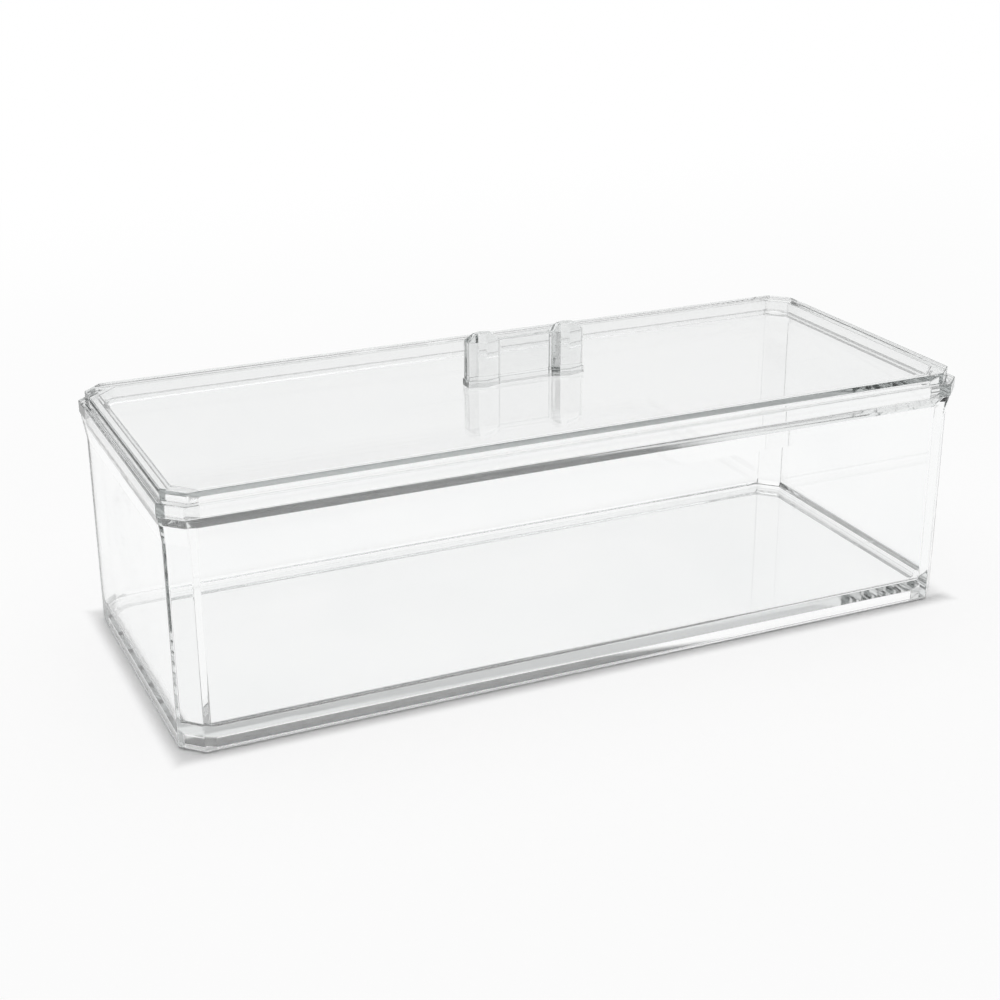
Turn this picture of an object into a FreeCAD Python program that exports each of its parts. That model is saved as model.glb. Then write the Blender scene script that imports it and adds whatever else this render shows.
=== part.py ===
"""Clear moulded storage box with a lift-off lid and a bonded pull handle.

Millimetres, +Z up.  The origin is at the centre of the footprint, on the surface that the box stands on.
The box's long side lies along X.
"""
import FreeCAD, Part
import math
import os

# Plan of the lid, which the whole box follows: a rectangle with cut corners
LID_LENGTH = 240.0
LID_WIDTH = 98.8
CORNER_LEG = 5.6

# Box: tray with upright walls, a flared rim and a raised floor on a foot ring
BODY_HEIGHT = 65.6
RIM_SETBACK = 0.2
RIM_FLARE_REACH = 1.1
RIM_FLARE_HEIGHT = 7.6
RIM_BEVEL_REACH = 2.2
RIM_BEVEL_HEIGHT = 3.3
WALL_THICKNESS = 2.2
FLOOR_THICKNESS = 3.2
FLOOR_FILLET = 2.0
FOOT_HEIGHT = 2.8
FOOT_WIDTH = 4.0
FOOT_CHAMFER = 0.8

# Lid: flange on the rim, raised plateau, and a short skirt that nests in the rim's inner bevel
FLANGE_HEIGHT = 3.7
LEDGE_WIDTH = 1.7
PLATEAU_RISE = 3.0
PLATE_THICKNESS = 2.4
SKIRT_CLEARANCE = 0.4
SKIRT_OVERHANG = 1.4
SKIRT_DEPTH = 1.0
SKIRT_FILLET = 0.6

# Handle: two six-sided posts with bevelled tops, joined by a web, on a low plinth
HANDLE_SPAN = 36.2
HANDLE_HEIGHT = 15.3
POST_WIDTH = 10.0
POST_RIDGE_DEPTH = 6.4
POST_TOP_WIDTH = 5.0
POST_BEVEL_HEIGHT = 2.1
WEB_THICKNESS = 3.4
WEB_DROP = 2.4
PLINTH_REACH = 0.3
PLINTH_HEIGHT = 2.0

# Small break on moulded outer edges, and facets along each rounded stretch
EDGE_BREAK = 0.3
ROUND_STEPS = 6

# Heights and insets that follow from the sizes above; an inset is measured inwards from the lid's outline
FLOOR_TOP = FOOT_HEIGHT + FLOOR_THICKNESS
WALL_OUTER = RIM_SETBACK + RIM_FLARE_REACH
WALL_INNER = WALL_OUTER + WALL_THICKNESS
RIM_LAND_INNER = WALL_INNER - RIM_BEVEL_REACH
LEDGE_TOP = BODY_HEIGHT + FLANGE_HEIGHT
LID_TOP = LEDGE_TOP + PLATEAU_RISE
PLATE_BOTTOM = LID_TOP - PLATE_THICKNESS
SKIRT_OUTER = RIM_LAND_INNER + SKIRT_CLEARANCE
SKIRT_TIP = SKIRT_OUTER + SKIRT_DEPTH * RIM_BEVEL_REACH / RIM_BEVEL_HEIGHT
SKIRT_INNER = WALL_INNER + SKIRT_OVERHANG
SKIRT_BOTTOM = BODY_HEIGHT - SKIRT_DEPTH


def cut_corner_ring(inset, height):
    """Eight corners of the lid's outline moved inwards by inset, at a height."""
    half_x = LID_LENGTH / 2 - inset
    half_y = LID_WIDTH / 2 - inset
    short_x = half_x - CORNER_LEG
    short_y = half_y - CORNER_LEG
    outline = [
        (half_x, -short_y), (half_x, short_y), (short_x, half_y), (-short_x, half_y),
        (-half_x, short_y), (-half_x, -short_y), (-short_x, -half_y), (short_x, -half_y),
    ]
    return [FreeCAD.Vector(x, y, height) for x, y in outline]


def post_ring(centre_x, width, height):
    """Six corners of a post's cross-section, at a width and a height, with ridges in front and behind."""
    scale = width / POST_WIDTH
    half_x = width / 2
    side = scale * WEB_THICKNESS / 2
    ridge = scale * POST_RIDGE_DEPTH / 2
    outline = [
        (half_x, -side), (half_x, side), (0.0, ridge),
        (-half_x, side), (-half_x, -side), (0.0, -ridge),
    ]
    return [FreeCAD.Vector(centre_x + x, y, height) for x, y in outline]


def flat_face(points):
    """Planar face through points in order."""
    return Part.Face(Part.makePolygon(points + points[:1]))


def solid_through(rings):
    """Closed solid whose skin runs from ring to ring, capped at the first and the last one."""
    faces = [flat_face(rings[0][::-1]), flat_face(rings[-1])]
    for lower, upper in zip(rings, rings[1:]):
        for i in range(len(lower)):
            j = (i + 1) % len(lower)
            faces.append(flat_face([lower[i], lower[j], upper[j], upper[i]]))
    solid = Part.Solid(Part.makeShell(faces))
    if solid.Volume < 0:
        solid.reverse()
    return solid.removeSplitter()


def arc_section(centre_inset, centre_height, radius, start, end):
    """Points (inset, height) along an arc of the moulding's cross-section; angles in radians."""
    points = []
    for i in range(ROUND_STEPS + 1):
        angle = start + (end - start) * i / ROUND_STEPS
        points.append((centre_inset + radius * math.cos(angle), centre_height + radius * math.sin(angle)))
    return points


def moulding(section):
    """Solid whose cross-section runs through (inset, height) points all round the cut-corner plan."""
    return solid_through([cut_corner_ring(inset, height) for inset, height in section])


def box_body():
    """Tray, from the underside of the floor out over the rim and back down to the floor's top."""
    foot_inner = WALL_OUTER + FOOT_WIDTH
    foot = [
        (foot_inner, FOOT_HEIGHT),
        (foot_inner, 0.0),
        (WALL_OUTER + FOOT_CHAMFER, 0.0),
        (WALL_OUTER, FOOT_CHAMFER),
    ]
    rim = [
        (WALL_OUTER, BODY_HEIGHT - RIM_FLARE_HEIGHT),
        (RIM_SETBACK, BODY_HEIGHT - EDGE_BREAK),
        (RIM_SETBACK + EDGE_BREAK, BODY_HEIGHT),
        (RIM_LAND_INNER, BODY_HEIGHT),
        (WALL_INNER, BODY_HEIGHT - RIM_BEVEL_HEIGHT),
    ]
    floor_edge = arc_section(
        WALL_INNER + FLOOR_FILLET, FLOOR_TOP + FLOOR_FILLET, FLOOR_FILLET, math.pi, 1.5 * math.pi,
    )
    return moulding(foot + rim + floor_edge)


def lid():
    """Flanged plate, from the underside of the plate round the skirt and flange to the plateau's top."""
    plate_edge = arc_section(
        SKIRT_INNER + SKIRT_FILLET, PLATE_BOTTOM - SKIRT_FILLET, SKIRT_FILLET, 0.5 * math.pi, math.pi,
    )
    skirt = [
        (SKIRT_INNER, SKIRT_BOTTOM),
        (SKIRT_TIP, SKIRT_BOTTOM),
        (SKIRT_OUTER, BODY_HEIGHT),
    ]
    flange = [
        (EDGE_BREAK, BODY_HEIGHT),
        (0.0, BODY_HEIGHT + EDGE_BREAK),
        (0.0, LEDGE_TOP - EDGE_BREAK),
        (EDGE_BREAK, LEDGE_TOP),
    ]
    plateau = [
        (LEDGE_WIDTH, LEDGE_TOP),
        (LEDGE_WIDTH, LID_TOP - EDGE_BREAK),
        (LEDGE_WIDTH + EDGE_BREAK, LID_TOP),
    ]
    return moulding(plate_edge + skirt + flange + plateau)


def handle_post(centre_x):
    """Upright six-sided post on its plinth, with a bevelled top."""
    plinth_width = POST_WIDTH + 2 * PLINTH_REACH
    plinth_top = LID_TOP + PLINTH_HEIGHT
    top = LID_TOP + HANDLE_HEIGHT
    section = [
        (plinth_width, LID_TOP),
        (plinth_width, plinth_top),
        (POST_WIDTH, plinth_top),
        (POST_WIDTH, top - POST_BEVEL_HEIGHT),
        (POST_TOP_WIDTH, top),
    ]
    return solid_through([post_ring(centre_x, width, height) for width, height in section])


def handle_bar(length, thickness, height):
    """Upright bar along the middle of the lid's top."""
    corner = FreeCAD.Vector(-length / 2, -thickness / 2, LID_TOP)
    return Part.makeBox(length, thickness, height, corner)


def handle():
    """Posts, web and plinth as one moulding, standing on the middle of the lid."""
    spacing = HANDLE_SPAN - POST_WIDTH
    web = handle_bar(spacing, WEB_THICKNESS, HANDLE_HEIGHT - WEB_DROP)
    plinth = handle_bar(spacing, WEB_THICKNESS + 2 * PLINTH_REACH, PLINTH_HEIGHT)
    posts = [handle_post(side * spacing / 2) for side in (-1, 1)]
    return web.multiFuse([plinth] + posts).removeSplitter()


def main():
    """Write one STEP file for each piece."""
    os.makedirs("parts", exist_ok=True)
    for name, build in (("box_body", box_body), ("lid", lid), ("handle", handle)):
        shape = build()
        shape.exportStep("parts/" + name + ".step")
        box = shape.BoundBox
        print(name, shape.isValid(), len(shape.Solids), round(shape.Volume, 1),
              [round(v, 2) for v in (box.XLength, box.YLength, box.ZMin, box.ZMax)])


main()
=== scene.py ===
"""Clear storage box with a lift-off lid: the looks of each moulding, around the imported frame.

Metres, +Z up, origin at the centre of the footprint, with the box's long side along X.
"""
import logging
import math
from dataclasses import dataclass
from enum import Enum
from typing import Any, Iterable, Optional, Union

import bmesh
import bpy
from mathutils import Matrix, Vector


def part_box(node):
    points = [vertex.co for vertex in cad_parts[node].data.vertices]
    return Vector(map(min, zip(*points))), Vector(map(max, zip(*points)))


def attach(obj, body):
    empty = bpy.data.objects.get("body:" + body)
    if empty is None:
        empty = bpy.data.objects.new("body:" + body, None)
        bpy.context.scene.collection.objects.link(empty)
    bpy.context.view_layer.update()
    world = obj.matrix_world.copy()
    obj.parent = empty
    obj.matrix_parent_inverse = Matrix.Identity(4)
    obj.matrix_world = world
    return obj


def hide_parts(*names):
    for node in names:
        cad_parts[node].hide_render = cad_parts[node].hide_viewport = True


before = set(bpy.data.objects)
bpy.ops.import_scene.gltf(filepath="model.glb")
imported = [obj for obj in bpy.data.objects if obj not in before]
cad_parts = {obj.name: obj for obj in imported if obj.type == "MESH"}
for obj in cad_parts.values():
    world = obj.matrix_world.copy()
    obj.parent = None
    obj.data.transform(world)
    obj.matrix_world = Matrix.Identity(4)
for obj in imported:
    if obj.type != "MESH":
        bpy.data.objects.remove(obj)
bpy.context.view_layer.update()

MM = 0.001
TINY = 1e-7

# A primitive of this size reaches 1 each way from its middle
UNIT_SIZE = 2.0

# Cosine above which a face counts as looking along an axis
FACING_LEAST = 0.9

# Weight that gives the large faces most say in the normals
PANEL_WEIGHT = 100

# Sockets of a Mix node for colours, by number because its names repeat
MIX_FACTOR = 0
MIX_FIRST = 6
MIX_SECOND = 7
MIX_RESULT = 2

log = logging.getLogger("storage_box")

Point = tuple[float, float, float]
Colour = tuple[float, float, float, float]
Span = tuple[float, float]
Section = list[tuple[float, float]]


class Body(Enum):
    """Rigid bodies of the frame."""

    BOX = "box"
    COVER = "cover"


class Slot(Enum):
    """Material slots of the record."""

    BODY = "clear_body"
    LID = "clear_lid"
    HANDLE = "clear_handle"


class Axis(Enum):
    """Directions along which rings and blocks are drawn in or out."""

    X = 0
    Y = 1
    Z = 2


class Wire:
    """Output of a shader node that takes part in Python sums."""

    def __init__(self, shader: "Shader", socket: bpy.types.NodeSocket) -> None:
        """Keeps the socket and the shader that it belongs to."""
        self.shader = shader
        self.socket = socket

    def _math(self, operation: str, first: "Value", second: "Value") -> "Wire":
        """Adds a Math node.

        Args:
            operation: Blender's name of the operation.
            first: Left-hand value.
            second: Right-hand value.

        Returns:
            The node's result.
        """
        return self.shader.add("ShaderNodeMath", {"operation": operation}, {0: first, 1: second})["Value"]

    def __add__(self, other: "Value") -> "Wire":
        """Sum."""
        return self._math("ADD", self, other)

    def __radd__(self, other: "Value") -> "Wire":
        """Sum with the number on the left."""
        return self._math("ADD", other, self)

    def __sub__(self, other: "Value") -> "Wire":
        """Difference."""
        return self._math("SUBTRACT", self, other)

    def __rsub__(self, other: "Value") -> "Wire":
        """Difference with the number on the left."""
        return self._math("SUBTRACT", other, self)

    def __mul__(self, other: "Value") -> "Wire":
        """Product."""
        return self._math("MULTIPLY", self, other)

    def __rmul__(self, other: "Value") -> "Wire":
        """Product with the number on the left."""
        return self._math("MULTIPLY", other, self)

    def size(self) -> "Wire":
        """Value without its sign."""
        return self._math("ABSOLUTE", self, 0.0)

    def largest(self, other: "Value") -> "Wire":
        """Larger of the two values."""
        return self._math("MAXIMUM", self, other)

    def ramp(self, low: float, high: float, start: float = 0.0, end: float = 1.0) -> "Wire":
        """Smooth step from start to end as the value goes from low to high.

        Args:
            low: Value at which the step begins.
            high: Value at which the step is complete.
            start: Result up to low.
            end: Result from high on.

        Returns:
            The stepped value.
        """
        sockets = {"Value": self, "From Min": low, "From Max": high, "To Min": start, "To Max": end}
        return self.shader.add("ShaderNodeMapRange", {"interpolation_type": "SMOOTHSTEP"}, sockets)["Result"]


Value = Union[Wire, float, int]


class Placed:
    """A shader node whose outputs are read by name."""

    def __init__(self, shader: "Shader", node: bpy.types.Node) -> None:
        """Keeps the node and the shader that it belongs to."""
        self.shader = shader
        self.node = node

    def __getitem__(self, output: Union[str, int]) -> Wire:
        """Output of that name or number."""
        return Wire(self.shader, self.node.outputs[output])


class Shader:
    """Node tree of one finish, emptied and drawn afresh."""

    def __init__(self, owner: Union[bpy.types.Material, bpy.types.World]) -> None:
        """Takes over the owner's node tree.

        Args:
            owner: Material or world that the finish belongs to.
        """
        owner.use_nodes = True
        self.tree = owner.node_tree
        self.tree.nodes.clear()

    def add(
        self, kind: str, settings: Optional[dict[str, Any]] = None, sockets: Optional[dict] = None,
    ) -> Placed:
        """Adds a node, sets it up and fills its sockets.

        Args:
            kind: Blender's type name of the node.
            settings: Properties of the node, set first.
            sockets: Values or wires by socket name or number.

        Returns:
            The node, ready to be read.
        """
        node = self.tree.nodes.new(kind)
        for name, value in (settings or {}).items():
            setattr(node, name, value)
        for name, value in (sockets or {}).items():
            if isinstance(value, Wire):
                self.tree.links.new(value.socket, node.inputs[name])
            else:
                node.inputs[name].default_value = value
        return Placed(self, node)

    def object_coordinates(self, stretch: Point = (1.0, 1.0, 1.0), turn: Point = (0.0, 0.0, 0.0)) -> Wire:
        """Object coordinates, turned and stretched.

        Args:
            stretch: Scale along each axis.
            turn: Rotation about each axis, in radians.

        Returns:
            The mapped coordinates.
        """
        place = self.add("ShaderNodeTexCoord")["Object"]
        return self.add("ShaderNodeMapping", None, {"Vector": place, "Rotation": turn, "Scale": stretch})[0]

    def noise(self, vector: Wire, scale: float, detail: float = 2.0) -> Wire:
        """Cloudy noise between 0 and 1.

        Args:
            vector: Coordinates.
            scale: Clouds per metre.
            detail: Octaves.

        Returns:
            The noise value.
        """
        sockets = {"Vector": vector, "Scale": scale, "Detail": detail}
        return self.add("ShaderNodeTexNoise", None, sockets)["Fac"]

    def mix_colour(self, factor: Wire, first: Colour, second: Colour) -> Wire:
        """Blend of two colours.

        Args:
            factor: 0 gives the first colour and 1 the second.
            first: First colour.
            second: Second colour.

        Returns:
            The blended colour.
        """
        sockets = {MIX_FACTOR: factor, MIX_FIRST: first, MIX_SECOND: second}
        return self.add("ShaderNodeMix", {"data_type": "RGBA"}, sockets)[MIX_RESULT]


@dataclass(frozen=True)
class ClearAcrylic:
    """Polished clear acrylic with faint flow waves, handling haze and hairline scratches."""

    name: str
    tint_density: float
    tint: Colour = (0.47, 0.5, 0.495, 1.0)
    clear: Colour = (0.985, 0.988, 0.987, 1.0)
    clouded: Colour = (0.974, 0.979, 0.979, 1.0)
    ior: float = 1.49
    polish: float = 0.004
    haze: float = 0.02
    scratch: float = 0.10
    cloud_scale: float = 22.0
    cloud_step: Span = (0.42, 0.68)
    wave_scale: float = 70.0
    wave_detail: float = 1.0
    wave_height: float = 8e-6
    scratch_turns: Span = (0.5, -0.9)
    scratch_stretch: Point = (8.0, 900.0, 900.0)
    scratch_step: Span = (0.74, 0.8)
    patch_scale: float = 45.0
    patch_step: Span = (0.5, 0.62)

    def material(self) -> bpy.types.Material:
        """Draws the finish.

        Returns:
            The material.
        """
        material = bpy.data.materials.new(self.name)
        shader = Shader(material)
        place = shader.object_coordinates()
        cloud = shader.noise(place, self.cloud_scale).ramp(*self.cloud_step)
        first, second = [self._hairlines(shader, turn) for turn in self.scratch_turns]
        roughness = self.polish + self.haze * cloud + self.scratch * first.largest(second)
        wave = shader.noise(place, self.wave_scale, self.wave_detail)
        bump = shader.add("ShaderNodeBump", None, {
            "Strength": 1.0,
            "Distance": self.wave_height,
            "Height": wave,
        })
        gloss = shader.add("ShaderNodeBsdfPrincipled", None, {
            "Base Color": shader.mix_colour(cloud, self.clear, self.clouded),
            "Roughness": roughness,
            "IOR": self.ior,
            "Transmission Weight": 1.0,
            "Normal": bump["Normal"],
        })
        depth = shader.add("ShaderNodeVolumeAbsorption", None, {
            "Color": self.tint,
            "Density": self.tint_density,
        })
        shader.add("ShaderNodeOutputMaterial", None, {"Surface": gloss["BSDF"], "Volume": depth["Volume"]})
        return material

    def _hairlines(self, shader: Shader, turn: float) -> Wire:
        """Sparse straight scratches at one slant.

        Args:
            shader: The finish being drawn.
            turn: Slant about Z, in radians.

        Returns:
            1 on a scratch and 0 off it.
        """
        stretched = shader.object_coordinates(self.scratch_stretch, (0.0, 0.0, turn))
        patches = shader.noise(shader.object_coordinates(), self.patch_scale).ramp(*self.patch_step)
        return shader.noise(stretched, scale=1.0, detail=0.0).ramp(*self.scratch_step) * patches


@dataclass(frozen=True)
class FloorFinish:
    """White paper that keeps part of the box's real shadow, with painted shade beneath the box and along the
    front and left feet.
    """

    # Reaches are distances outside the footprint, so a negative one lies beneath the box.
    # The painted front shade is wider by the shift, which goes from its first value to its second over the
    # stretch of X in the shift's reach.
    half_x: float
    half_y: float
    seen: float = 1.0
    bounced: float = 0.86
    # Painted shade: less white glow beneath the box, so the paper there shows more of its real, darker
    # shading.
    painted_shade_inner_share: float = 0.5
    near_share: float = 0.85
    painted_shade_reach: Span = (-8.0 * MM, -5.0 * MM)
    painted_shade_shift: Span = (7.0 * MM, -3.5 * MM)
    painted_shade_shift_reach: Span = (-35.0 * MM, 75.0 * MM)
    near_reach: Span = (-1.5 * MM, 4.0 * MM)
    far_reach: Span = (0.1, 0.6)

    def material(self) -> bpy.types.Material:
        """Draws the finish.

        Returns:
            The material.
        """
        material = bpy.data.materials.new("white_paper")
        shader = Shader(material)
        path = shader.add("ShaderNodeLightPath")
        seen = path["Is Camera Ray"] + path["Is Glossy Ray"] + path["Is Transmission Ray"]
        dim = (self.bounced, self.bounced, self.bounced, 1.0)
        bright = (self.seen, self.seen, self.seen, 1.0)
        paper = shader.add("ShaderNodeBsdfDiffuse", None, {"Color": shader.mix_colour(seen, dim, bright)})
        glow = shader.add("ShaderNodeEmission", None, {"Strength": 1.0})
        share = self._white_share_and_painted_shade(shader) * seen
        mixed = shader.add("ShaderNodeMixShader", None, {0: share, 1: paper["BSDF"], 2: glow["Emission"]})
        shader.add("ShaderNodeOutputMaterial", None, {"Surface": mixed["Shader"]})
        return material

    def _white_share_and_painted_shade(self, shader: Shader) -> Wire:
        """Share of plain white glow in the paper, by the distance from the box's footprint, with painted
        shade where it is cut.

        Args:
            shader: The finish being drawn.

        Returns:
            The share: none in a strip inside the front and left feet, which paints shade there, and 1 far
                from the box.
        """
        place = shader.add("ShaderNodeSeparateXYZ", None, {"Vector": shader.object_coordinates()})
        away = (place["X"].size() - self.half_x).largest(place["Y"].size() - self.half_y)
        # Painted shade: the white glow is cut out in a strip inside the front and left feet, wider at the
        # left of the front, so the paper there shows only its darker shading.
        shift = place["X"].ramp(*self.painted_shade_shift_reach, *self.painted_shade_shift)
        front = shift - self.half_y - place["Y"]
        left = -self.half_x - place["X"]
        painted_shade_share = front.largest(left).ramp(*self.painted_shade_reach, self.painted_shade_inner_share, 0.0)
        near = painted_shade_share + away.ramp(*self.near_reach) * (self.near_share - painted_shade_share)
        return near + away.ramp(*self.far_reach, 0.0, 1.0 - self.near_share)


@dataclass
class RingModel:
    """A closed skin drawn ring by ring, each ring a rectangle with cut corners."""

    name: str
    half_x: float
    half_y: float
    corner_leg: float
    inset: float = 0.0
    height: float = 0.0
    thing: Optional[bpy.types.Object] = None

    def draw(self, section: Section) -> bpy.types.Object:
        """Draws the whole skin along a cross-section.

        Args:
            section: Points (inset from the outline, height) from the first cap to the last.

        Returns:
            The finished object, in object mode.
        """
        self._start(*section[0])
        for inset, height in section[1:]:
            self._step(inset, height)
        close_skin()
        return self.thing

    def _start(self, inset: float, height: float) -> None:
        """Adds the first ring as a flat plate.

        Args:
            inset: Distance of the ring inside the outline.
            height: Height of the ring.
        """
        self.thing = add_primitive(bpy.ops.mesh.primitive_plane_add, self.name, size=UNIT_SIZE)
        open_skin("VERT")
        bpy.ops.transform.resize(value=(self.half_x - inset, self.half_y - inset, 1.0))
        bpy.ops.transform.translate(value=(0.0, 0.0, height))
        bpy.ops.mesh.bevel(offset=self.corner_leg, affect="VERTICES", segments=1)
        self.inset = inset
        self.height = height

    def _step(self, inset: float, height: float) -> None:
        """Extrudes the open end to the next ring.

        Args:
            inset: Distance of the new ring inside the outline.
            height: Height of the new ring.
        """
        extrude((0.0, 0.0, height - self.height))
        shift = self.inset - inset
        if abs(shift) > TINY:
            ring = selected_vertices(self.thing)
            move_sides(self.thing, ring, Axis.X, shift)
            move_sides(self.thing, ring, Axis.Y, shift)
            select_vertices(self.thing, ring)
        self.inset = inset
        self.height = height


def add_primitive(operator: Any, name: str, **sizes: Any) -> bpy.types.Object:
    """Adds a primitive with nothing else selected.

    Args:
        operator: The bpy.ops function that adds it.
        name: Name of the new object and its mesh.
        **sizes: Arguments of the operator.

    Returns:
        The new object.
    """
    bpy.ops.object.select_all(action="DESELECT")
    operator(**sizes)
    thing = bpy.context.active_object
    thing.name = name
    thing.data.name = name
    return thing


def select_vertices(thing: bpy.types.Object, wanted: Iterable[int]) -> None:
    """Selects just these vertices, and the faces between them, in edit mode.

    Args:
        thing: Object in edit mode.
        wanted: Vertex numbers.
    """
    bpy.ops.mesh.select_all(action="DESELECT")
    mesh = bmesh.from_edit_mesh(thing.data)
    mesh.verts.ensure_lookup_table()
    for i in wanted:
        mesh.verts[i].select = True
    mesh.select_flush(True)
    bmesh.update_edit_mesh(thing.data)


def selected_vertices(thing: bpy.types.Object) -> list[int]:
    """Numbers of the selected vertices, in edit mode."""
    return [v.index for v in bmesh.from_edit_mesh(thing.data).verts if v.select]


def open_skin(kind: str) -> None:
    """Enters edit mode with everything selected.

    Args:
        kind: Blender's name of the elements to select, VERT or FACE.
    """
    bpy.ops.object.mode_set(mode="EDIT")
    bpy.ops.mesh.select_mode(type=kind)
    bpy.ops.mesh.select_all(action="SELECT")


def close_skin() -> None:
    """Turns all the faces outwards and leaves edit mode."""
    bpy.ops.mesh.select_all(action="SELECT")
    bpy.ops.mesh.normals_make_consistent(inside=False)
    bpy.ops.object.mode_set(mode="OBJECT")


def extrude(move: Point) -> None:
    """Extrudes the selected faces, in edit mode."""
    bpy.ops.mesh.extrude_region_move(TRANSFORM_OT_translate={"value": move})


def move_sides(
    thing: bpy.types.Object, ring: list[int], axis: Axis, shift: float, least: float = 0.0,
) -> None:
    """Moves two opposite sides of a ring away from the middle, in edit mode.

    Args:
        thing: Object in edit mode.
        ring: Vertices of the ring.
        axis: Direction of the move.
        shift: How far each side moves outwards; a negative one draws it in.
        least: Distance from the middle beyond which a vertex belongs to a side.
    """
    for sign in (1.0, -1.0):
        mesh = bmesh.from_edit_mesh(thing.data)
        mesh.verts.ensure_lookup_table()
        select_vertices(thing, [i for i in ring if mesh.verts[i].co[axis.value] * sign > least])
        move = [0.0, 0.0, 0.0]
        move[axis.value] = sign * shift
        bpy.ops.transform.translate(value=move)


def arc(centre: tuple[float, float], radius: float, start: float, end: float, steps: int) -> Section:
    """Points along a circular arc of a cross-section.

    Args:
        centre: Inset and height of the arc's centre.
        radius: Radius.
        start: First angle, in degrees.
        end: Last angle, in degrees.
        steps: Facets along the arc.

    Returns:
        Points (inset, height), both ends included.
    """
    angles = [math.radians(start + (end - start) * i / steps) for i in range(steps + 1)]
    return [(centre[0] + radius * math.cos(a), centre[1] + radius * math.sin(a)) for a in angles]


def soften(
    thing: bpy.types.Object, radius: float, segments: int = 3, angle: float = 42.0, crease: float = 7.0,
) -> None:
    """Rounds the moulded edges, keeps the flats flat and leaves the gentle creases crisp.

    Args:
        thing: Object to finish.
        radius: Width of the rounding.
        segments: Facets across it.
        angle: Edges sharper than this, in degrees, are rounded.
        crease: Edges sharper than this, in degrees, stay crisp where they aren't rounded.
    """
    bpy.ops.object.select_all(action="DESELECT")
    thing.select_set(True)
    bpy.context.view_layer.objects.active = thing
    bpy.ops.object.shade_smooth_by_angle(angle=math.radians(crease))
    rounding = thing.modifiers.new("edge_rounding", "BEVEL")
    rounding.width = radius
    rounding.segments = segments
    rounding.limit_method = "ANGLE"
    rounding.angle_limit = math.radians(angle)
    bpy.ops.object.modifier_apply(modifier=rounding.name)
    flats = thing.modifiers.new("flat_panels", "WEIGHTED_NORMAL")
    flats.weight = PANEL_WEIGHT
    flats.keep_sharp = True
    bpy.ops.object.modifier_apply(modifier=flats.name)


def dress(thing: bpy.types.Object, finish: ClearAcrylic, body: Body, node: str) -> None:
    """Gives a moulding its finish and ties it to the frame.

    Args:
        thing: The moulding.
        finish: Its finish.
        body: Body that it moves with.
        node: Solid that it stands for.
    """
    thing.data.materials.clear()
    thing.data.materials.append(finish.material())
    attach(thing, body.value)
    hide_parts(node)
    log.info("%s: %d faces on body %s", thing.name, len(thing.data.polygons), body.value)


@dataclass
class Tray:
    """Open box with upright walls, a flared and bevelled rim and a floor raised on a foot ring."""

    node: str = "box_body"
    corner_leg: float = 5.6 * MM
    flare_reach: float = 1.1 * MM
    flare_height: float = 7.6 * MM
    bevel_reach: float = 2.2 * MM
    bevel_height: float = 3.3 * MM
    wall: float = 2.2 * MM
    floor: float = 3.2 * MM
    floor_fillet: float = 2.0 * MM
    fillet_steps: int = 16
    foot_height: float = 2.8 * MM
    foot_width: float = 4.0 * MM
    foot_chamfer: float = 0.8 * MM
    edge_radius: float = 0.25 * MM
    finish: ClearAcrylic = ClearAcrylic("clear_acrylic_box", tint_density=5.0)

    def section(self, top: float) -> Section:
        """Cross-section from the underside of the floor, over the rim, to the floor's top.

        Args:
            top: Height of the rim.

        Returns:
            Points (inset, height).
        """
        outer = self.flare_reach
        inner = outer + self.wall
        foot_inner = outer + self.foot_width
        floor_top = self.foot_height + self.floor
        centre = (inner + self.floor_fillet, floor_top + self.floor_fillet)
        return [
            (foot_inner, self.foot_height),
            (foot_inner, 0.0),
            (outer + self.foot_chamfer, 0.0),
            (outer, self.foot_chamfer),
            (outer, top - self.flare_height),
            (0.0, top),
            (inner - self.bevel_reach, top),
            (inner, top - self.bevel_height),
            *arc(centre, self.floor_fillet, 180.0, 270.0, self.fillet_steps),
        ]

    def build(self) -> bpy.types.Object:
        """Models and dresses the box.

        Returns:
            The finished object.
        """
        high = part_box(self.node)[1]
        model = RingModel("storage_box", high.x, high.y, self.corner_leg)
        thing = model.draw(self.section(high.z))
        soften(thing, self.edge_radius)
        dress(thing, self.finish, Body.BOX, self.node)
        return thing


@dataclass
class Lid:
    """Flanged lid with a raised plateau and a short skirt that nests in the rim's bevel."""

    node: str = "lid"
    corner_leg: float = 5.6 * MM
    flange: float = 3.7 * MM
    ledge: float = 1.7 * MM
    plate: float = 2.4 * MM
    skirt_outer: float = 1.7 * MM
    skirt_inner: float = 4.9 * MM
    skirt_depth: float = 1.0 * MM
    skirt_slope: float = 2.2 / 3.3
    skirt_fillet: float = 0.6 * MM
    fillet_steps: int = 16
    seat_gap: float = 0.04 * MM
    edge_radius: float = 0.28 * MM
    finish: ClearAcrylic = ClearAcrylic("clear_acrylic_lid", tint_density=14.0)

    def section(self, low: float, top: float) -> Section:
        """Cross-section from the underside of the plate, round the skirt and flange, to the plateau.

        Args:
            low: Height of the skirt's lower edge.
            top: Height of the plateau.

        Returns:
            Points (inset, height).
        """
        rim = low + self.skirt_depth
        ledge_top = rim + self.flange
        skirt_tip = self.skirt_outer + self.skirt_slope * self.skirt_depth
        centre = (self.skirt_inner + self.skirt_fillet, top - self.plate - self.skirt_fillet)
        return [
            *arc(centre, self.skirt_fillet, 90.0, 180.0, self.fillet_steps),
            (self.skirt_inner, low),
            (skirt_tip, low),
            (self.skirt_outer, rim + self.seat_gap),
            (0.0, rim + self.seat_gap),
            (0.0, ledge_top),
            (self.ledge, ledge_top),
            (self.ledge, top),
        ]

    def build(self) -> bpy.types.Object:
        """Models and dresses the lid.

        Returns:
            The finished object.
        """
        low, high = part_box(self.node)
        model = RingModel("lift_off_lid", high.x, high.y, self.corner_leg)
        thing = model.draw(self.section(low.z, high.z))
        soften(thing, self.edge_radius)
        dress(thing, self.finish, Body.COVER, self.node)
        return thing


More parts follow.
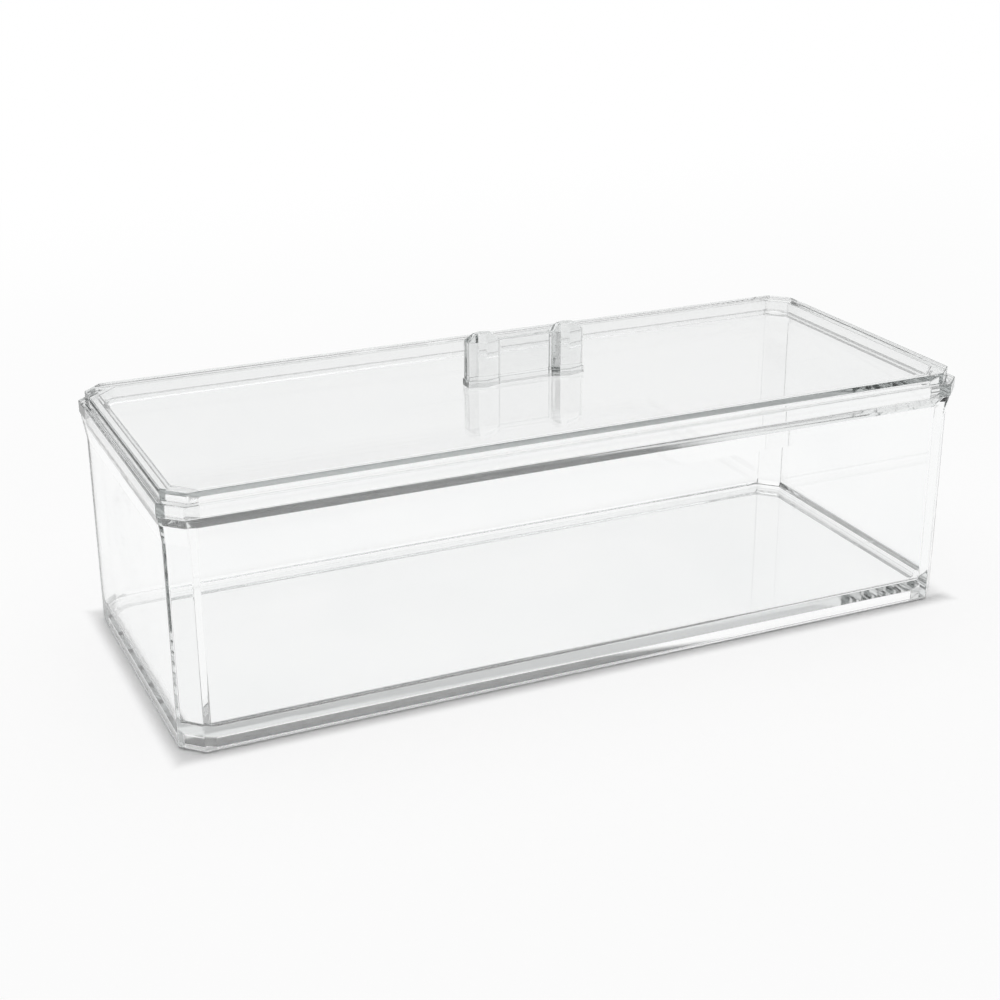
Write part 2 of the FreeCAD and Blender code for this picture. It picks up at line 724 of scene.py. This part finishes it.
@dataclass
class PullHandle:
    """Two six-sided posts with bevelled tops, joined by a web, on a low plinth."""

    node: str = "handle"
    post_width: float = 10.0 * MM
    ridge_depth: float = 6.4 * MM
    top_width: float = 5.0 * MM
    bevel_height: float = 2.1 * MM
    side_depth: float = 3.4 * MM
    web: float = 2.7 * MM
    web_step: float = 0.3 * MM
    web_drop: float = 2.4 * MM
    plinth_reach: float = 0.3 * MM
    plinth_height: float = 2.0 * MM
    sink: float = 0.05 * MM
    edge_radius: float = 0.18 * MM
    round_from: float = 28.0
    finish: ClearAcrylic = ClearAcrylic("clear_acrylic_handle", tint_density=22.0)
    thing: Optional[bpy.types.Object] = None

    def build(self) -> bpy.types.Object:
        """Models and dresses the handle.

        Returns:
            The finished object.
        """
        low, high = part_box(self.node)
        inner = high.x - self.plinth_reach - self.post_width
        plinth_top = low.z + self.plinth_height
        web_top = high.z - self.web_drop
        self.thing = add_primitive(bpy.ops.mesh.primitive_cube_add, "pull_handle", size=UNIT_SIZE)
        open_skin("FACE")
        bpy.ops.transform.resize(value=(inner, self.web / 2.0, (web_top - plinth_top) / 2.0))
        bpy.ops.transform.translate(value=(0.0, 0.0, (web_top + plinth_top) / 2.0))
        for sign in (1.0, -1.0):
            self._draw_post(sign, inner)
            self._raise_top(sign, inner, high.z)
        self._lower_plinth(plinth_top, low.z - self.sink)
        close_skin()
        soften(self.thing, self.edge_radius, angle=self.round_from)
        dress(self.thing, self.finish, Body.COVER, self.node)
        return self.thing

    def _select_faces(self, axis: Axis, facing: float, end: float, beyond: float) -> None:
        """Selects the faces at one end of the handle that look along an axis, in edit mode.

        Args:
            axis: Axis that the faces look along.
            facing: Which way they look along it, 1 or -1.
            end: End of the handle that they are taken from, 1 or -1.
            beyond: Least distance of a face's centre from the middle, towards that end.
        """
        bpy.ops.mesh.select_all(action="DESELECT")
        mesh = bmesh.from_edit_mesh(self.thing.data)
        mesh.normal_update()
        for face in mesh.faces:
            towards = face.normal[axis.value] * facing > FACING_LEAST
            face.select = towards and face.calc_center_median().x * end > beyond
        mesh.select_flush_mode()
        bmesh.update_edit_mesh(self.thing.data)

    @staticmethod
    def _extrude_scaled(move: Point, scale: Point, about: Point) -> None:
        """Extrudes the selected faces and scales the new end.

        Args:
            move: How far the new end moves.
            scale: Its scale along each axis.
            about: Fixed point of the scale.
        """
        extrude(move)
        bpy.ops.transform.resize(value=scale, center_override=about)

    def _draw_post(self, sign: float, inner: float) -> None:
        """Draws a post out of the web's end: a small step, then wider to its ridges and narrow again.

        Args:
            sign: Which end.
            inner: Distance of the post's near side from the middle.
        """
        half = self.post_width / 2.0
        widen = self.ridge_depth / self.side_depth
        stages = (
            (self.web_step, self.side_depth / self.web),
            (half - self.web_step, widen),
            (half, 1.0 / widen),
        )
        for length, spread in stages:
            self._select_faces(Axis.X, sign, sign, inner - half)
            self._extrude_scaled((sign * length, 0.0, 0.0), (1.0, spread, 1.0), (0.0, 0.0, 0.0))

    def _raise_top(self, sign: float, inner: float, top: float) -> None:
        """Draws a post up past the web and tapers it to its bevelled top.

        Args:
            sign: Which post.
            inner: Distance of the post's near side from the middle.
            top: Height of the post's top.
        """
        taper = self.top_width / self.post_width
        middle = (sign * (inner + self.post_width / 2.0), 0.0, top)
        rises = ((self.web_drop - self.bevel_height, 1.0), (self.bevel_height, taper))
        for rise, scale in rises:
            self._select_faces(Axis.Z, 1.0, sign, inner)
            self._extrude_scaled((0.0, 0.0, rise), (scale, scale, 1.0), middle)

    def _lower_plinth(self, plinth_top: float, base: float) -> None:
        """Steps the underside out all round and draws the plinth down into the lid.

        Args:
            plinth_top: Height of the step.
            base: Height of the plinth's underside.
        """
        end = max(v.co.x for v in bmesh.from_edit_mesh(self.thing.data).verts)
        self._select_faces(Axis.Z, -1.0, 1.0, -end)
        extrude((0.0, 0.0, 0.0))
        ring = selected_vertices(self.thing)
        move_sides(self.thing, ring, Axis.X, self.plinth_reach, end - TINY)
        move_sides(self.thing, ring, Axis.Y, self.plinth_reach)
        select_vertices(self.thing, ring)
        extrude((0.0, 0.0, base - plinth_top))


@dataclass
class Studio:
    """White paper in a room that is white at the horizon and dim in front, with a soft box overhead."""

    # Elevations (to and from) are in degrees; sides are parts of the unit direction along Y or X
    floor_size: float = 8.0
    floor_drop: float = 0.1 * MM
    sweep_level: float = 1.0
    horizon_level: float = 0.8
    wall_level: float = 0.064
    front_share: float = 0.05
    top_level: float = 1.52
    sweep_to: Span = (5.0, 12.0)
    wall_from: Span = (26.0, 36.0)
    top_from: Span = (42.0, 54.0)
    front_from: Span = (8.0, 18.0)
    front_side: Span = (0.2, -0.4)
    end_share: float = 0.3
    end_side: Span = (0.7, 0.95)
    bounces: int = 64

    def build(self) -> None:
        """Lays the floor and lights the room."""
        floor = add_primitive(bpy.ops.mesh.primitive_plane_add, "paper_sweep", size=self.floor_size)
        open_skin("VERT")
        bpy.ops.transform.translate(value=(0.0, 0.0, -self.floor_drop))
        bpy.ops.object.mode_set(mode="OBJECT")
        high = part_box("box_body")[1]
        floor.data.materials.append(FloorFinish(high.x, high.y).material())
        self._light()

    def _light(self) -> None:
        """Draws the light by direction: white horizon, dark walls, dim front and ends, and the soft box.

        The camera itself sees the room as plain white.
        """
        world = bpy.data.worlds.new("grey_room")
        bpy.context.scene.world = world
        shader = Shader(world)
        way = shader.add("ShaderNodeTexCoord")["Generated"]
        parts = shader.add("ShaderNodeSeparateXYZ", None, {"Vector": way})
        rise = parts["Z"]
        walls = rise.ramp(*self._sines(self.wall_from), self.horizon_level, self.wall_level)
        sweep = rise.ramp(*self._sines(self.sweep_to), self.sweep_level - self.horizon_level, 0.0)
        soft_box = rise.ramp(*self._sines(self.top_from), 0.0, self.top_level - self.wall_level)
        forward = parts["Y"].ramp(*self.front_side)
        dimming = rise.ramp(*self._sines(self.front_from)) * forward * (1.0 - self.front_share)
        ends = parts["X"].size().ramp(*self.end_side, 1.0, self.end_share)
        room = (walls + sweep) * (1.0 - dimming) * ends + soft_box
        seen = shader.add("ShaderNodeLightPath")["Is Camera Ray"]
        level = room + seen * (self.sweep_level - room)
        light = shader.add("ShaderNodeBackground", None, {"Color": (1.0, 1.0, 1.0, 1.0), "Strength": level})
        shader.add("ShaderNodeOutputWorld", None, {"Surface": light["Background"]})
        paths = bpy.context.scene.cycles
        paths.max_bounces = self.bounces
        paths.glossy_bounces = self.bounces
        paths.transmission_bounces = self.bounces

    @staticmethod
    def _sines(angles: Span) -> Span:
        """Heights on the unit sphere of two elevations in degrees."""
        return math.sin(math.radians(angles[0])), math.sin(math.radians(angles[1]))


@dataclass
class PhotoCamera:
    """Camera at the photograph's place, angle and lens."""

    place: Point = (-0.210727, -0.449642, 0.232053)
    heading: float = -0.424
    dip: float = 0.379
    roll: float = -0.004
    focal_pixels: float = 1796.739
    picture_pixels: float = 1000.0
    sensor: float = 36.0

    def build(self) -> None:
        """Sets up the scene's camera."""
        lens = bpy.data.cameras.new("photo_camera")
        lens.sensor_width = self.sensor
        lens.lens = self.focal_pixels * self.sensor / self.picture_pixels
        camera = bpy.data.objects.new("photo_camera", lens)
        bpy.context.scene.collection.objects.link(camera)
        turn = Matrix.Rotation(self.heading, 4, "Z")
        tilt = Matrix.Rotation(math.pi / 2.0 - self.dip, 4, "X")
        lean = Matrix.Rotation(self.roll, 4, "Z")
        camera.matrix_world = Matrix.Translation(self.place) @ turn @ tilt @ lean
        bpy.context.scene.camera = camera


def main() -> None:
    """Builds the scene and reports each piece."""
    logging.basicConfig(level=logging.INFO, format="%(message)s")
    bpy.context.scene.view_settings.view_transform = "Standard"
    PhotoCamera().build()
    Studio().build()
    for part in (Tray(), Lid(), PullHandle()):
        part.build()


if __name__ == "__main__":
    main()
